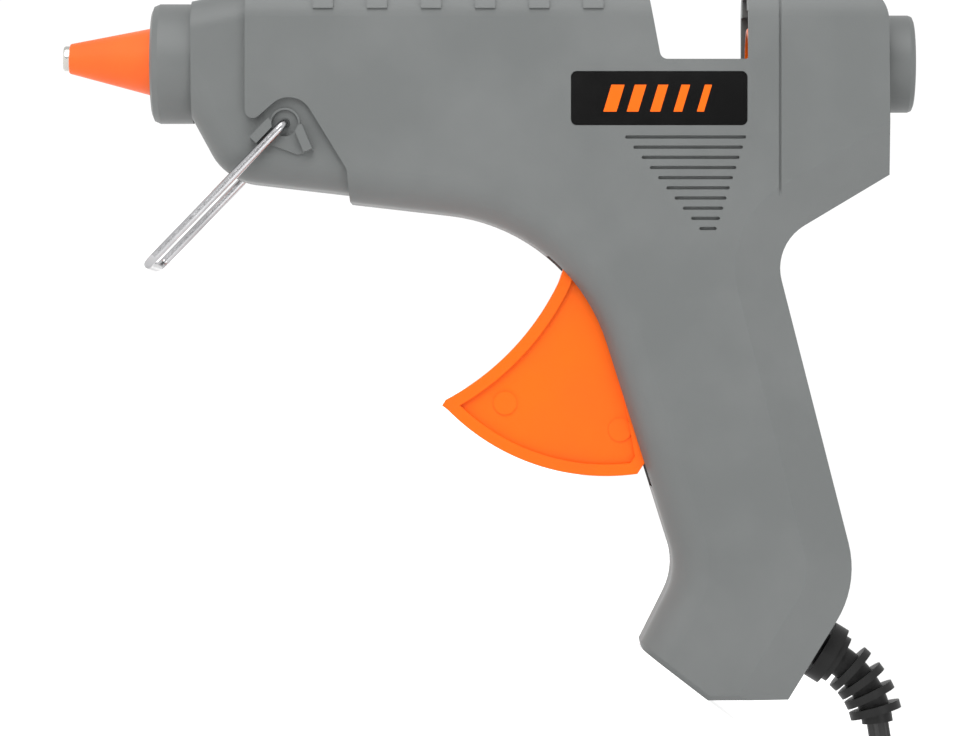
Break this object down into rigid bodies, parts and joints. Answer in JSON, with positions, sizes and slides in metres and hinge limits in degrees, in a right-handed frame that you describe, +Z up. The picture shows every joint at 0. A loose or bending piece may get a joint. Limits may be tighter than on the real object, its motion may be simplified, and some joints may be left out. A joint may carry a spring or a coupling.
{
  "type": "hot-melt glue gun",
  "caption": "Hot-melt glue gun for 11 mm sticks: lever trigger, open stick window, folding wire stand and a mains lead with a two-pin plug.",
  "frame": {"origin": "centre of the foot face under the grip, on the floor that the foot and the wire stand rest on", "axes": "+Z up; -X towards the nozzle, which points down and forward; the left shell faces -Y"},
  "size_m": [0.4121, 0.0332, 0.1326],
  "materials": {
    "housing_plastic": "satin, fine texture",
    "gloss_black": "gloss",
    "orange_plastic": "satin",
    "orange_silicone": "matt",
    "nozzle_metal": "nickel plated",
    "cast_aluminium": "as cast",
    "ceramic": "matt",
    "spring_steel": "bright",
    "stand_wire": "bright",
    "sleeve_rubber": "matt",
    "grey_plastic": "matt",
    "cord_rubber": "satin",
    "lead_brown": "satin",
    "lead_blue": "satin"
  },
  "bodies": {
    "gun": {"badge_left": "gloss_black", "badge_right": "gloss_black", "carriage_guide": "grey_plastic", "cord_clamp": "grey_plastic", "cord_clamp_screws": "spring_steel", "cord_end": "cord_rubber", "cord_hank": "cord_rubber", "cord_tail": "cord_rubber", "cord_tie": "cord_rubber", "front_ring": "housing_plastic", "heater_clip": "spring_steel", "heater_element": "ceramic", "heating_chamber": "cast_aluminium", "housing_screws": "spring_steel", "left_shell": "housing_plastic", "lever_pin": "spring_steel", "live_lead": "lead_brown", "neutral_lead": "lead_blue", "nozzle": "nozzle_metal", "nozzle_sleeve": "orange_silicone", "plug_body": "cord_rubber", "plug_pins": "nozzle_metal", "power_cord": "cord_rubber", "return_spring": "spring_steel", "right_shell": "housing_plastic", "sleeve_clamp": "spring_steel", "splice_caps": "grey_plastic", "stick_inlet": "housing_plastic", "stick_sleeve": "sleeve_rubber", "strain_relief": "cord_rubber", "trigger_pin": "spring_steel", "valve_spring": "spring_steel"},
    "trigger": {"trigger": "orange_plastic"},
    "feed_lever": {"feed_lever": "grey_plastic"},
    "carriage": {"feed_carriage": "orange_plastic", "gripper": "spring_steel", "gripper_pin": "spring_steel"},
    "stand": {"wire_stand": "stand_wire"},
    "valve": {"valve_ball": "spring_steel"}
  },
  "joints": [
    {"name": "trigger_hinge", "type": "hinge", "parent": "gun", "child": "trigger", "pos_m": [-0.06102, 0, 0.05765], "axis": [0, -1, 0], "range_deg": [0, 24], "stiffness_Nm_per_rad": 0.6, "springref_deg": -11.46, "deforming": ["return_spring"]},
    {"name": "feed_lever_hinge", "type": "hinge", "parent": "gun", "child": "feed_lever", "pos_m": [-0.04581, 0, 0.0797], "axis": [0, -1, 0], "range_deg": [0, 25.46]},
    {"name": "carriage_slide", "type": "slide", "parent": "gun", "child": "carriage", "axis": [-0.7925, 0, -0.6099], "range_m": [0, 0.0092]},
    {"name": "stand_hinge", "type": "hinge", "parent": "gun", "child": "stand", "pos_m": [-0.12694, 0, 0.03935], "axis": [0, -1, 0], "range_deg": [0, 67]},
    {"name": "valve_slide", "type": "slide", "parent": "gun", "child": "valve", "axis": [-0.814, 0, -0.5808], "range_m": [0, 0.001], "stiffness_N_per_m": 150, "deforming": ["valve_spring"]}
  ],
  "couplings": [
    {"joint": "feed_lever_hinge", "follows": "trigger_hinge", "ratio": 1.0567},
    {"joint": "carriage_slide", "follows": "trigger_hinge", "m_per_rad": 0.021486}
  ]
}
